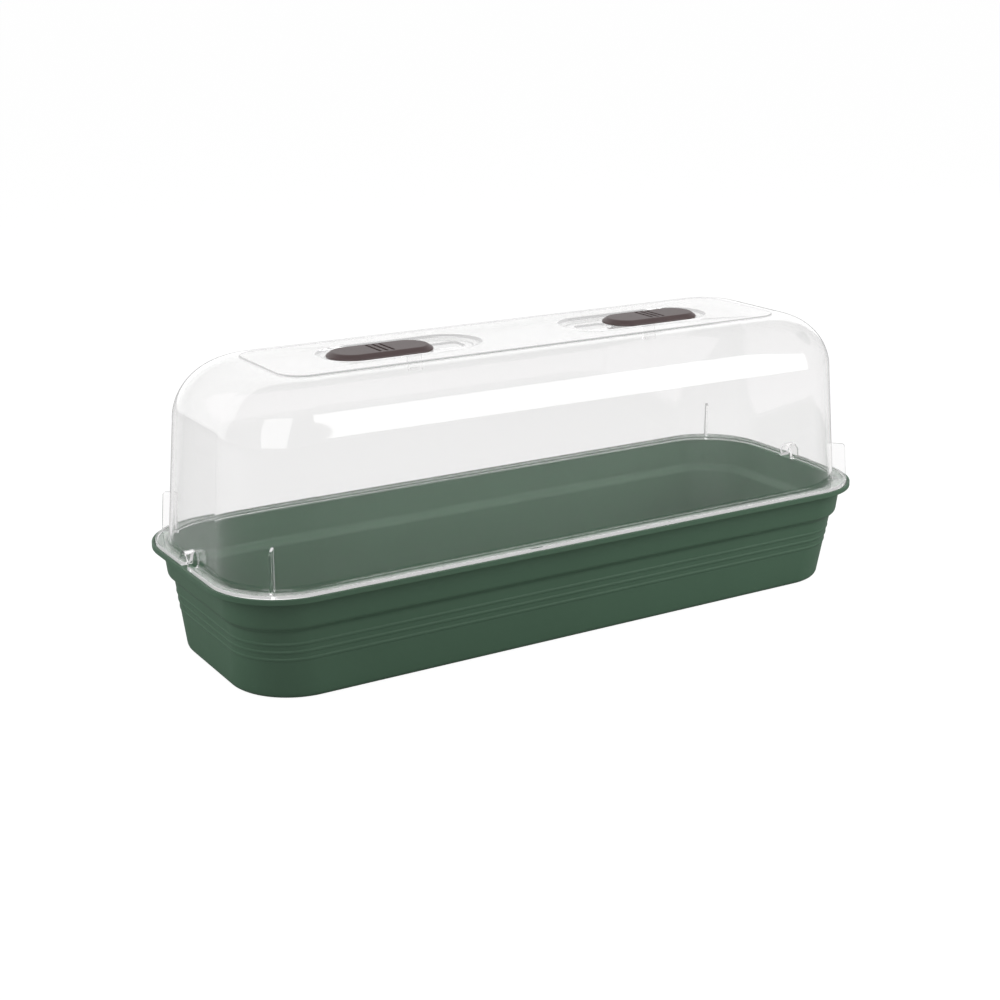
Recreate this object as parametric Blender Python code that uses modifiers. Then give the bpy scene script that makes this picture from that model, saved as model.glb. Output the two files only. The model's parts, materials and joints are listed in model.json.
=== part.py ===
"""Humidity dome tray: a green seed tray with a clear lift-off dome and two sliding roof vents.

Units are metres. The tray's length runs along X, its depth along Y and +Z is up. The origin is
under the middle of the tray, on the surface that it stands on.
"""
import math

import bmesh
import bpy

# Tray
TRAY_LENGTH = 0.480          # over the rim
TRAY_WIDTH = 0.1755          # over the rim
TRAY_HEIGHT = 0.0692         # base to the top of the rim
TRAY_WALL = 0.0018
RIM_CORNER = 0.048           # plan radius of the rim's corners
BASE_CORNER = 0.041          # plan radius of the base's corners
BASE_INSET = 0.016           # base edge, in from the rim
BASE_FILLET = 0.004
SHOULDER_LOW = (0.0125, 0.0446)    # inset from the rim, height
SHOULDER_HIGH = (0.0088, 0.0480)
WALL_TOP_INSET = 0.0066      # upper wall just under the rim
RIB_HEIGHTS = (0.0262, 0.0312, 0.0364)
RIB_RELIEF = 0.0005
RIB_HALF = 0.0013
LIP_WIDTH = 0.0018           # the rim's raised outer edge
LIP_HEIGHT = 0.0034
LIP_ROUND = 0.0005
SEAT_DEPTH = 0.0010          # ledge that the dome rests on, below the lip's top

# Dome
ROOF_HEIGHT = 0.1864
DOME_WALL = 0.0016
DOME_END_INSET = 0.0080      # wall foot, in from the rim's ends
DOME_SIDE_INSET = 0.0100     # wall foot, in from the rim's sides
DOME_CORNER = 0.0459         # plan radius at the wall's foot
DOME_DRAFT = math.radians(4.05)
ROOF_ROUND = 0.0385          # height of the rounding between walls and roof
ROOF_END_RUN = 0.0421        # reach of that rounding at the ends
ROOF_SIDE_RUN = 0.0321       # and at the sides
ROOF_CORNER = 0.0160         # plan radius of the flat part's corners
ROOF_STEP = 0.0006           # the flat roof stands this much proud of the rounding
FOOT_FILLET = 0.0015
FLANGE_CLEARANCE = 0.0005    # flange edge to the rim's raised lip
SEAT_GAP = 0.0003            # flange underside to the tray's ledge
BEAD_WIDTH = 0.0016
BEAD_RISE = 0.0008
FIN_HEIGHT = 0.026
FIN_THICKNESS = 0.0016
FIN_ROUND = 0.0025
FIN_ANGLES = (math.radians(57), math.radians(45))
ARCH_WIDTH = 0.0130          # outside of the arch through the flange
ARCH_HEIGHT = 0.0105
NOTCH_X = -0.042             # finger notch in the front edge of the flange
NOTCH_LENGTH = 0.0100
NOTCH_DEPTH = 0.0012

# Roof vents
SLIDER_X = 0.103             # centre of an open slider
SLIDER_LENGTH = 0.071
SLIDER_WIDTH = 0.032
SLIDER_THICKNESS = 0.0034
SLIDER_EDGE = 0.0011         # upright edge under the chamfer
SLIDER_CHAMFER = 0.0034
VENT_TRAVEL = 0.028
SLIDE_CLEARANCE = 0.0004     # slider to the walls of its track
SLIDE_GAP = 0.0003           # slider to the track's floor
TRACK_DEPTH = 0.0022
TRACK_SLOPE = 0.0062         # run of the track's sloping sides
VENT_LENGTH = 0.024
VENT_WIDTH = 0.016
VENT_CORNER = 0.004
VENT_COVER = 0.0055          # how far a closed slider reaches past its vent
KEEL_WIDTH = 0.0050
KEEL_LENGTH = 0.016
KEEL_CLEARANCE = 0.0004
FOOT_WIDTH = 0.0100
FOOT_LENGTH = 0.014
FOOT_THICKNESS = 0.0016
GROOVE_PITCH = 0.0046
GROOVE_WIDTH = 0.0019
GROOVE_LENGTH = 0.021
GROOVE_DEPTH = 0.0014
CLIP_GAP = 0.0026            # clips hang under the roof, this far out from the track's floor
CLIP_WIDTH = 0.010
CLIP_DROP = 0.0075
CLIP_THICKNESS = 0.0014
CLIP_TOE = 0.0012

# Worked out from the sizes above
HALF_LENGTH = TRAY_LENGTH / 2
HALF_WIDTH = TRAY_WIDTH / 2
SEAT_TOP = TRAY_HEIGHT - SEAT_DEPTH
FLANGE_INSET = LIP_WIDTH + FLANGE_CLEARANCE
FLANGE_BOTTOM = SEAT_TOP + SEAT_GAP
FLANGE_TOP = FLANGE_BOTTOM + DOME_WALL
FOOT_HALF_X = HALF_LENGTH - DOME_END_INSET
FOOT_HALF_Y = HALF_WIDTH - DOME_SIDE_INSET
ROOF_SPRING = ROOF_HEIGHT - ROOF_STEP - ROOF_ROUND
SPRING_LEAN = (ROOF_SPRING - FLANGE_TOP) * math.tan(DOME_DRAFT)
ROOF_HALF_X = FOOT_HALF_X - SPRING_LEAN - ROOF_END_RUN
ROOF_HALF_Y = FOOT_HALF_Y - SPRING_LEAN - ROOF_SIDE_RUN
TRACK_FLOOR = ROOF_HEIGHT - TRACK_DEPTH
TRACK_X = SLIDER_X - VENT_TRAVEL / 2
TRACK_LENGTH = SLIDER_LENGTH + VENT_TRAVEL + 2 * SLIDE_CLEARANCE
TRACK_WIDTH = SLIDER_WIDTH + 2 * SLIDE_CLEARANCE
VENT_INNER = SLIDER_X - VENT_TRAVEL - SLIDER_LENGTH / 2 + VENT_COVER
CLIP_Y = TRACK_WIDTH / 2 + CLIP_GAP

CORNER_STEPS = 8
ROUND_STEPS = 8
FILLET_STEPS = 3
OVERLAP = 0.0010             # how far a cutter runs past what it cuts


def clear_scene():
    """Remove every object, so the model starts from nothing."""
    for item in list(bpy.data.objects):
        bpy.data.objects.remove(item, do_unlink=True)


def new_collection(name):
    """Add a collection to the scene."""
    group = bpy.data.collections.new(name)
    bpy.context.scene.collection.children.link(group)
    return group


def plastic(name, colour, roughness, alpha=1.0):
    """A moulded plastic in one colour."""
    material = bpy.data.materials.new(name)
    material.use_nodes = True
    shader = material.node_tree.nodes["Principled BSDF"]
    shader.inputs["Base Color"].default_value = (*colour, 1.0)
    shader.inputs["Roughness"].default_value = roughness
    shader.inputs["Metallic"].default_value = 0.0
    shader.inputs["Alpha"].default_value = alpha
    return material


def outline(half_x, half_y, corner, z, centre_x=0.0, centre_y=0.0):
    """A rounded rectangle at one height, anticlockwise seen from above."""
    corner = min(corner, half_x - 1e-4, half_y - 1e-4)
    points = []
    for quarter, (side_x, side_y) in enumerate(((1, 1), (-1, 1), (-1, -1), (1, -1))):
        for step in range(CORNER_STEPS + 1):
            angle = math.radians(90 * (quarter + step / CORNER_STEPS))
            x = centre_x + side_x * (half_x - corner) + corner * math.cos(angle)
            y = centre_y + side_y * (half_y - corner) + corner * math.sin(angle)
            points.append((x, y, z))
    return points


def loft(name, rings, group, caps=(True, True), joined=False):
    """Skin rings that have equal numbers of points. Caps close the first and last ring, and a
    joined loft runs from the last ring back to the first."""
    shape = bmesh.new()
    loops = [[shape.verts.new(point) for point in ring] for ring in rings]
    pairs = list(zip(loops, loops[1:]))
    if joined:
        pairs.append((loops[-1], loops[0]))
    count = len(loops[0])
    for lower, upper in pairs:
        for here in range(count):
            after = (here + 1) % count
            shape.faces.new((lower[here], lower[after], upper[after], upper[here]))
    if caps[0]:
        shape.faces.new(reversed(loops[0]))
    if caps[1]:
        shape.faces.new(loops[-1])
    if joined or all(caps):
        bmesh.ops.recalc_face_normals(shape, faces=shape.faces)
    mesh = bpy.data.meshes.new(name)
    shape.to_mesh(mesh)
    shape.free()
    item = bpy.data.objects.new(name, mesh)
    group.objects.link(item)
    return item


def block(name, low, high, group):
    """A box between two corners, made from the cube primitive."""
    shape = bmesh.new()
    bmesh.ops.create_cube(shape, size=1.0)
    for vert in shape.verts:
        vert.co = [a + (b - a) * (part + 0.5) for a, b, part in zip(low, high, vert.co)]
    mesh = bpy.data.meshes.new(name)
    shape.to_mesh(mesh)
    shape.free()
    item = bpy.data.objects.new(name, mesh)
    group.objects.link(item)
    return item


def prism(name, profile, thickness, group):
    """A flat outline in X and Y, extruded to a thickness that is centred on Z = 0."""
    curve = bpy.data.curves.new(name, "CURVE")
    curve.dimensions = "2D"
    curve.fill_mode = "BOTH"
    curve.extrude = thickness / 2
    spline = curve.splines.new("POLY")
    spline.points.add(len(profile) - 1)
    for point, (x, y) in zip(spline.points, profile):
        point.co = (x, y, 0.0, 1.0)
    spline.use_cyclic_u = True
    drawn = bpy.data.objects.new(name + "_curve", curve)
    group.objects.link(drawn)
    bpy.context.view_layer.update()
    graph = bpy.context.evaluated_depsgraph_get()
    mesh = bpy.data.meshes.new_from_object(drawn.evaluated_get(graph))
    bpy.data.objects.remove(drawn, do_unlink=True)
    shape = bmesh.new()
    shape.from_mesh(mesh)
    bmesh.ops.remove_doubles(shape, verts=shape.verts, dist=1e-6)
    bmesh.ops.recalc_face_normals(shape, faces=shape.faces)
    shape.to_mesh(mesh)
    shape.free()
    item = bpy.data.objects.new(name, mesh)
    group.objects.link(item)
    return item


def combine(item, tool, operation):
    """Join a tool to an item, or cut it away, and hide the tool."""
    change = item.modifiers.new(tool.name, "BOOLEAN")
    change.operation = operation
    change.solver = "EXACT"
    change.object = tool
    tool.hide_render = True
    tool.display_type = "WIRE"


def finish(item, material, smooth_angle=30):
    """Give an item its material and smooth its rounded faces."""
    item.data.materials.append(material)
    item.data.shade_smooth()
    item.data.set_sharp_from_angle(angle=math.radians(smooth_angle))


# ---------------------------------------------------------------- tray

def tray_ring(inset, z, corner=None):
    """An outline of the tray, in from its rim."""
    if corner is None:
        corner = RIM_CORNER - inset
    return outline(HALF_LENGTH - inset, HALF_WIDTH - inset, corner, z)


def lower_wall_ring(z, relief=0.0):
    """The lower wall, which leans and rounds from the base up to the shoulder. Relief stands
    proud of it, and the inner skin has a negative relief."""
    top_inset, top_z = SHOULDER_LOW
    part = (z - BASE_FILLET) / (top_z - BASE_FILLET)
    inset = BASE_INSET + (top_inset - BASE_INSET) * part - relief
    corner = BASE_CORNER + (RIM_CORNER - top_inset - BASE_CORNER) * part
    return tray_ring(inset, z, corner + relief)


def base_fillet_rings(radius, thickness, floor):
    """The rounding between the base and the lower wall, in from the outer skin by a thickness."""
    rings = []
    for step in range(FILLET_STEPS):
        angle = math.radians(90 * step / FILLET_STEPS)
        inset = BASE_INSET + thickness + radius * (1 - math.sin(angle))
        z = floor + radius * (1 - math.cos(angle))
        rings.append(tray_ring(inset, z, BASE_CORNER + BASE_INSET - inset))
    return rings


def outer_skin():
    """The tray's outside, from the base up to the underside of the ledge."""
    rings = base_fillet_rings(BASE_FILLET, 0.0, 0.0)
    rings.append(lower_wall_ring(BASE_FILLET))
    for rib in RIB_HEIGHTS:
        rings.append(lower_wall_ring(rib - RIB_HALF))
        rings.append(lower_wall_ring(rib, RIB_RELIEF))
        rings.append(lower_wall_ring(rib + RIB_HALF))
    rings.append(lower_wall_ring(SHOULDER_LOW[1]))
    rings.append(tray_ring(*SHOULDER_HIGH))
    rings.append(tray_ring(WALL_TOP_INSET, SEAT_TOP - TRAY_WALL))
    return rings


def rim_rings():
    """The lip around the rim, from its inner side under the ledge, around its outside and over
    to the ledge's top."""
    low = TRAY_HEIGHT - LIP_HEIGHT
    section = (
        (LIP_WIDTH, SEAT_TOP - TRAY_WALL),
        (LIP_WIDTH, low),
        (0.0, low),
        (0.0, TRAY_HEIGHT - LIP_ROUND),
        (LIP_ROUND, TRAY_HEIGHT),
        (LIP_WIDTH - LIP_ROUND, TRAY_HEIGHT),
        (LIP_WIDTH, TRAY_HEIGHT - LIP_ROUND),
        (LIP_WIDTH, SEAT_TOP),
    )
    return [tray_ring(*point) for point in section]


def inner_skin():
    """The tray's inside, from the ledge down to the floor."""
    lift = TRAY_WALL / 2     # keeps the sloping shoulder as thick as the walls
    floor_round = BASE_FILLET - TRAY_WALL
    rings = base_fillet_rings(floor_round, TRAY_WALL, TRAY_WALL)
    rings.append(lower_wall_ring(BASE_FILLET, -TRAY_WALL))
    rings.append(lower_wall_ring(SHOULDER_LOW[1] + lift, -TRAY_WALL))
    rings.append(tray_ring(SHOULDER_HIGH[0] + TRAY_WALL, SHOULDER_HIGH[1] + lift))
    rings.append(tray_ring(WALL_TOP_INSET + TRAY_WALL, SEAT_TOP))
    rings.reverse()
    return rings


def make_tray(parts):
    """One moulding with a thin wall, lofted up its outside, over its rim and down its inside."""
    tray = loft("tray", outer_skin() + rim_rings() + inner_skin(), parts)
    finish(tray, plastic("tray green", (0.052, 0.098, 0.068), 0.45))
    return tray


# ---------------------------------------------------------------- dome

def dome_wall(z):
    """Half length, half width and corner of the dome's wall at a height."""
    lean = (z - FLANGE_TOP) * math.tan(DOME_DRAFT)
    return FOOT_HALF_X - lean, FOOT_HALF_Y - lean, DOME_CORNER - lean / 2


def dome_rings():
    """The dome's outer skin, from the flange's edge in to the wall, up and over to the roof."""
    rings = [tray_ring(FLANGE_INSET, FLANGE_TOP)]
    for step in range(FILLET_STEPS + 1):
        angle = math.radians(90 * step / FILLET_STEPS)
        z = FLANGE_TOP + FOOT_FILLET * (1 - math.cos(angle))
        half_x, half_y, corner = dome_wall(z)
        out = FOOT_FILLET * (1 - math.sin(angle))
        rings.append(outline(half_x + out, half_y + out, corner + out, z))
    spring = dome_wall(ROOF_SPRING)
    roof = (ROOF_HALF_X + ROOF_STEP, ROOF_HALF_Y + ROOF_STEP, ROOF_CORNER + ROOF_STEP)
    for step in range(ROUND_STEPS + 1):
        angle = math.radians(90 * step / ROUND_STEPS)
        part = 1 - math.cos(angle)
        sizes = [wall + (flat - wall) * part for wall, flat in zip(spring, roof)]
        rings.append(outline(*sizes, ROOF_SPRING + ROOF_ROUND * math.sin(angle)))
    rings.append(outline(ROOF_HALF_X, ROOF_HALF_Y, ROOF_CORNER, ROOF_HEIGHT))
    return rings


def add_bead(dome, cutters):
    """A raised bead along the outer edge of the flange."""
    inner = FLANGE_INSET + BEAD_WIDTH
    top = FLANGE_TOP + BEAD_RISE
    section = (
        (FLANGE_INSET, FLANGE_BOTTOM),
        (FLANGE_INSET, top),
        (inner, top),
        (inner, FLANGE_BOTTOM),
    )
    bead = loft("bead", [tray_ring(*point) for point in section], cutters, (False, False), True)
    combine(dome, bead, "UNION")


def fin_profile(angle):
    """Outline of a fin at this angle from the X axis, from the corner's centre out and up. Its
    outer edge leans in as much as the wall does."""
    outer = RIM_CORNER - FLANGE_INSET - FLANGE_CLEARANCE
    foot_x, foot_y, foot_corner = dome_wall(FLANGE_TOP + FIN_HEIGHT)
    shift_x = foot_x - foot_corner - HALF_LENGTH + RIM_CORNER
    shift_y = foot_y - foot_corner - HALF_WIDTH + RIM_CORNER
    shift = shift_x * math.cos(angle) + shift_y * math.sin(angle)
    inner = shift + foot_corner - DOME_WALL / 2
    low = FLANGE_TOP - DOME_WALL / 2
    high = FLANGE_TOP + FIN_HEIGHT
    lean = FIN_HEIGHT * math.tan(DOME_DRAFT)
    profile = [(inner, low), (outer, low)]
    for step in range(FILLET_STEPS + 1):
        bend = math.radians(90 * step / FILLET_STEPS)
        x = outer - lean - FIN_ROUND * (1 - math.cos(bend))
        profile.append((x, high - FIN_ROUND * (1 - math.sin(bend))))
    profile.append((inner, high))
    return profile


def add_fins(dome, cutters):
    """Four upright plates that brace the wall against the flange, one across each corner."""
    for number, (side_x, side_y) in enumerate(((1, 1), (-1, 1), (-1, -1), (1, -1))):
        angle = FIN_ANGLES[0] if side_x == side_y else FIN_ANGLES[1]
        fin = prism(f"fin_{number}", fin_profile(angle), FIN_THICKNESS, cutters)
        turn = math.atan2(side_y * math.sin(angle), side_x * math.cos(angle))
        fin.rotation_euler = (math.radians(90), 0, turn)
        centre_x, centre_y = HALF_LENGTH - RIM_CORNER, HALF_WIDTH - RIM_CORNER
        fin.location = (side_x * centre_x, side_y * centre_y, 0)
        combine(dome, fin, "UNION")


def arch_profile(width, height, low):
    """An upright outline with a round top, in Y and Z."""
    radius = width / 2
    points = [(-radius, low)]
    for step in range(2 * FILLET_STEPS + 3):
        angle = math.radians(180 - 180 * step / (2 * FILLET_STEPS + 2))
        points.append((radius * math.cos(angle), height - radius + radius * math.sin(angle)))
    points.append((radius, low))
    return points


def add_arches(dome, cutters):
    """A tunnel through the flange and wall at each end, for a lead or a thin hose."""
    outer_x = HALF_LENGTH - FLANGE_INSET
    inner_x = FOOT_HALF_X - DOME_WALL / 2 - ARCH_HEIGHT * math.tan(DOME_DRAFT)
    top = FLANGE_BOTTOM + ARCH_HEIGHT
    shell = arch_profile(ARCH_WIDTH, top, FLANGE_BOTTOM)
    hole = arch_profile(ARCH_WIDTH - 2 * DOME_WALL, top - DOME_WALL, FLANGE_BOTTOM - OVERLAP)
    for side in (-1, 1):
        name = "left" if side < 0 else "right"
        length = outer_x - inner_x
        cover = prism(f"{name}_arch", shell, length, cutters)
        cover.rotation_euler = (math.radians(90), 0, math.radians(90))
        cover.location.x = side * (outer_x + inner_x) / 2
        combine(dome, cover, "UNION")
        reach = length + 4 * DOME_WALL
        bore = prism(f"{name}_arch_bore", hole, reach, cutters)
        bore.rotation_euler = (math.radians(90), 0, math.radians(90))
        bore.location.x = side * (outer_x + OVERLAP - reach / 2)
        combine(dome, bore, "DIFFERENCE")


def add_vent(dome, side, cutters):
    """A sunk track in the roof, with the vent at its inner end and a slot for the slider's keel."""
    name = "left" if side < 0 else "right"
    centre = side * TRACK_X
    half_x, half_y = TRACK_LENGTH / 2, TRACK_WIDTH / 2
    below = TRACK_FLOOR - DOME_WALL
    rim = ROOF_HEIGHT - DOME_WALL / 2

    def level(grow, z):
        return outline(half_x + grow, half_y + grow, half_y + grow, z, centre)

    pan_rings = [level(DOME_WALL, below), level(TRACK_SLOPE + DOME_WALL, rim)]
    pan = loft(f"{name}_pan", pan_rings, cutters)
    combine(dome, pan, "UNION")
    hollow_rings = [
        level(0.0, TRACK_FLOOR),
        level(TRACK_SLOPE, ROOF_HEIGHT),
        level(TRACK_SLOPE, ROOF_HEIGHT + OVERLAP),
    ]
    hollow = loft(f"{name}_track", hollow_rings, cutters)
    combine(dome, hollow, "DIFFERENCE")
    vent_x = side * (VENT_INNER + VENT_LENGTH / 2)
    vent_rings = [
        outline(VENT_LENGTH / 2, VENT_WIDTH / 2, VENT_CORNER, z, vent_x)
        for z in (below - OVERLAP, TRACK_FLOOR + OVERLAP)
    ]
    vent = loft(f"{name}_vent", vent_rings, cutters)
    combine(dome, vent, "DIFFERENCE")
    slot_half = KEEL_WIDTH / 2 + KEEL_CLEARANCE
    slot_ends = sorted((side * (VENT_INNER + VENT_LENGTH / 2),
                        side * (SLIDER_X + KEEL_LENGTH / 2 + KEEL_CLEARANCE)))
    low = (slot_ends[0], -slot_half, below - 2 * OVERLAP)
    high = (slot_ends[1], slot_half, TRACK_FLOOR + 2 * OVERLAP)
    slot = block(f"{name}_slot", low, high, cutters)
    combine(dome, slot, "DIFFERENCE")


def add_clips(dome, side, cutters):
    """Two small clips under the roof, one on each side of a track, with their toes outward."""
    name = "left" if side < 0 else "right"
    centre = side * TRACK_X
    high = ROOF_HEIGHT - DOME_WALL - TRACK_DEPTH / 2
    low = high - CLIP_DROP
    for edge in (-1, 1):
        label = "front" if edge < 0 else "back"
        faces = sorted((edge * CLIP_Y, edge * (CLIP_Y - CLIP_THICKNESS)))
        top = ROOF_HEIGHT - DOME_WALL / 2
        body = block(f"{name}_{label}_clip", (centre - CLIP_WIDTH / 2, faces[0], low),
                     (centre + CLIP_WIDTH / 2, faces[1], top), cutters)
        combine(dome, body, "UNION")
        ends = sorted((edge * (CLIP_Y + CLIP_TOE), edge * (CLIP_Y - CLIP_THICKNESS / 2)))
        toe = block(f"{name}_{label}_toe", (centre - CLIP_WIDTH / 2 + CLIP_TOE, ends[0], low + CLIP_TOE),
                    (centre + CLIP_WIDTH / 2 - CLIP_TOE, ends[1], low + 2 * CLIP_TOE), cutters)
        combine(dome, toe, "UNION")


def cut_notch(dome, cutters):
    """A shallow finger notch in the front edge of the flange."""
    edge = -(HALF_WIDTH - FLANGE_INSET)
    low = (NOTCH_X - NOTCH_LENGTH / 2, edge - OVERLAP, FLANGE_BOTTOM - OVERLAP)
    high = (NOTCH_X + NOTCH_LENGTH / 2, edge + NOTCH_DEPTH, FLANGE_TOP + BEAD_RISE + OVERLAP)
    notch = block("front_notch", low, high, cutters)
    combine(dome, notch, "DIFFERENCE")


def make_dome(parts, cutters):
    """One clear moulding: flange, bead, fins, arches, walls and roof with two vent tracks."""
    dome = loft("dome", dome_rings(), parts, caps=(False, True))
    wall = dome.modifiers.new("wall", "SOLIDIFY")
    wall.thickness = DOME_WALL
    wall.offset = -1.0
    wall.use_even_offset = True
    add_bead(dome, cutters)
    add_fins(dome, cutters)
    add_arches(dome, cutters)
    for side in (-1, 1):
        add_clips(dome, side, cutters)
        add_vent(dome, side, cutters)
    cut_notch(dome, cutters)
    finish(dome, plastic("clear dome", (0.90, 0.92, 0.92), 0.05, 0.25))
    return dome


# ---------------------------------------------------------------- vent sliders

def slider_plate(name, parts):
    """The slider's stadium-shaped plate, with its chamfered top edge, above the track's floor."""
    half_x, half_y = SLIDER_LENGTH / 2, SLIDER_WIDTH / 2
    levels = (
        (0.0, SLIDE_GAP),
        (0.0, SLIDE_GAP + SLIDER_EDGE),
        (SLIDER_CHAMFER, SLIDE_GAP + SLIDER_THICKNESS),
    )
    rings = [outline(half_x - inset, half_y - inset, half_y - inset, z) for inset, z in levels]
    return loft(name, rings, parts)


def make_slider(side, material, parts, cutters):
    """A dark shutter: a plate with grip grooves, and a keel with a foot that holds it down. Its
    own origin is in the middle of it, on the track's floor."""
    name = "left_vent_slider" if side < 0 else "right_vent_slider"
    slider = slider_plate(name, parts)
    foot_top = -DOME_WALL - SLIDE_GAP
    foot_low = foot_top - FOOT_THICKNESS
    keel = block(name + "_keel",
                 (-KEEL_LENGTH / 2, -KEEL_WIDTH / 2, foot_low + FOOT_THICKNESS / 2),
                 (KEEL_LENGTH / 2, KEEL_WIDTH / 2, SLIDE_GAP + SLIDER_EDGE / 2), cutters)
    combine(slider, keel, "UNION")
    foot = block(name + "_foot",
                 (-FOOT_LENGTH / 2, -FOOT_WIDTH / 2, foot_low),
                 (FOOT_LENGTH / 2, FOOT_WIDTH / 2, foot_top), cutters)
    combine(slider, foot, "UNION")
    top = SLIDE_GAP + SLIDER_THICKNESS
    for number in (-1, 0, 1):
        x = number * GROOVE_PITCH
        groove = block(f"{name}_groove_{number + 2}",
                       (x - GROOVE_WIDTH / 2, -GROOVE_LENGTH / 2, top - GROOVE_DEPTH),
                       (x + GROOVE_WIDTH / 2, GROOVE_LENGTH / 2, top + OVERLAP), cutters)
        combine(slider, groove, "DIFFERENCE")
    for item in [slider] + [change.object for change in slider.modifiers]:
        item.location = (side * SLIDER_X, 0, TRACK_FLOOR)
    finish(slider, material)
    return slider


def main():
    """Build the tray, the dome and its two vent sliders."""
    clear_scene()
    parts = new_collection("humidity_dome_tray")
    cutters = new_collection("cutters")
    make_tray(parts)
    dome = make_dome(parts, cutters)
    dark = plastic("vent brown", (0.105, 0.086, 0.084), 0.5)
    for side in (-1, 1):
        slider = make_slider(side, dark, parts, cutters)
        slider.parent = dome


main()
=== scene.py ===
"""Looks of the humidity dome tray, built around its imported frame.

Units are metres. The green tray, the clear dome and the two brown vent sliders are modelled
finely here, at the sizes that the frame gives them.
"""
import json
import math

import bmesh
import bpy
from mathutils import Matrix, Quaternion, Vector


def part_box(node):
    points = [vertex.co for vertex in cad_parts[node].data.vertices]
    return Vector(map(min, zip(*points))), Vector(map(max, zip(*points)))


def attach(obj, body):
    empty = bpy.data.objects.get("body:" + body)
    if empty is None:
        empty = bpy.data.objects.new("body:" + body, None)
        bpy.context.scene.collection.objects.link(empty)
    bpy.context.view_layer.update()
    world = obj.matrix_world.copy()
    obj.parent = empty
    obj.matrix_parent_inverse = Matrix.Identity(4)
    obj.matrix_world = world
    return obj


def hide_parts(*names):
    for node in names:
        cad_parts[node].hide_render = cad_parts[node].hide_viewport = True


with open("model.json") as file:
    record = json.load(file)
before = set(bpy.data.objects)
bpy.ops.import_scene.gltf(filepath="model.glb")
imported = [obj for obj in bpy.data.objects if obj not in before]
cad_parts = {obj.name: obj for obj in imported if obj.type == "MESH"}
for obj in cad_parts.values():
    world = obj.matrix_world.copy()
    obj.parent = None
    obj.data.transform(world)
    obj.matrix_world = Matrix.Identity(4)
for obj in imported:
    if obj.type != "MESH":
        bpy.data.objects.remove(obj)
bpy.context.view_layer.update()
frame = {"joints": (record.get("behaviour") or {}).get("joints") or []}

# Overall sizes, from the frame
TRAY_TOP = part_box("tray")[1]
DOME_LOW, DOME_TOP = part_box("dome")
SLIDER_LOW, SLIDER_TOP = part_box("right_vent_slider")
HALF_LENGTH, HALF_WIDTH, TRAY_HEIGHT = TRAY_TOP
ROOF_HEIGHT = DOME_TOP.z
FLANGE_BOTTOM = DOME_LOW.z
FLANGE_INSET = HALF_LENGTH - DOME_TOP.x
SLIDER_X = (SLIDER_LOW.x + SLIDER_TOP.x) / 2
SLIDER_HALF_X = (SLIDER_TOP.x - SLIDER_LOW.x) / 2
SLIDER_HALF_Y = SLIDER_TOP.y
VENT_TRAVEL = max(max(map(abs, j["range_m"])) for j in frame["joints"] if "vent" in j["name"])

# Tray
TRAY_WALL = 0.0018
RIM_CORNER = 0.048
BASE_CORNER = 0.041
BASE_INSET = 0.016
BASE_FILLET = 0.004
SHOULDER_LOW = (0.0125, 0.0446)
SHOULDER_HIGH = (0.0088, 0.0480)
WALL_TOP_INSET = 0.0066
RIB_HEIGHTS = (0.0262, 0.0312, 0.0364)
RIB_RELIEF = 0.0005
RIB_HALF = 0.0013
LIP_WIDTH = 0.0018
LIP_HEIGHT = 0.0034
LIP_ROUND = 0.0005
SEAT_DEPTH = 0.0010
SEAT_TOP = TRAY_HEIGHT - SEAT_DEPTH

# How far from its corner each of the tray's roundings starts
RIB_FOOT_REACH = 0.0002
RIB_CREST_REACH = 0.0009
SHOULDER_REACH = 0.0016
WALL_TOP_REACH = 0.0008
LIP_ROOT_REACH = 0.0004
LIP_INNER_REACH = 0.0003
LIP_FOOT_REACH = 0.0004
SEAT_REACH = 0.0002

# Dome
DOME_WALL = 0.0016
DOME_END_INSET = 0.0080
DOME_SIDE_INSET = 0.0100
DOME_CORNER = 0.0459
DOME_DRAFT = math.radians(4.05)
ROOF_ROUND = 0.0385
ROOF_END_RUN = 0.0421
ROOF_SIDE_RUN = 0.0321
ROOF_CORNER = 0.0160
ROOF_STEP = 0.0006
FOOT_FILLET = 0.0015
FLANGE_CLEARANCE = 0.0005
BEAD_WIDTH = 0.0016
BEAD_RISE = 0.0008
FIN_HEIGHT = 0.026
FIN_THICKNESS = 0.0016
FIN_ROUND = 0.0025
FIN_ANGLES = (math.radians(57), math.radians(45))
ARCH_WIDTH = 0.0130
ARCH_HEIGHT = 0.0105
NOTCH_X = -0.042
NOTCH_LENGTH = 0.0100
NOTCH_DEPTH = 0.0012
TRACK_DEPTH = 0.0022
TRACK_SLOPE = 0.0062
SLIDE_CLEARANCE = 0.0004
SLIDE_GAP = 0.0003
VENT_LENGTH = 0.024
VENT_WIDTH = 0.016
VENT_CORNER = 0.004
VENT_COVER = 0.0055
CLIP_GAP = 0.0026
CLIP_WIDTH = 0.010
CLIP_DROP = 0.0075
CLIP_THICKNESS = 0.0014
CLIP_TOE = 0.0012
EDGE_BREAK = 0.00025         # bevel of the small moulded edges
CREASE_REACH = 0.0003
CREASE_RUN = 1.5 * ROOF_STEP
FLANGE_EDGE_REACH = 0.0003
BEAD_REACH = 0.0005
BEAD_LEAN = 0.0001
PAN_REACH = 0.0009
TRACK_FLOOR_REACH = 0.0004
TRACK_RIM_REACH = 0.0007
TRACK_EDGE_LIFT = 0.00001    # keeps the cutter's rim off the plane of the roof
VENT_FLARE = 0.0012
VENT_REACH = 0.0003

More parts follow.
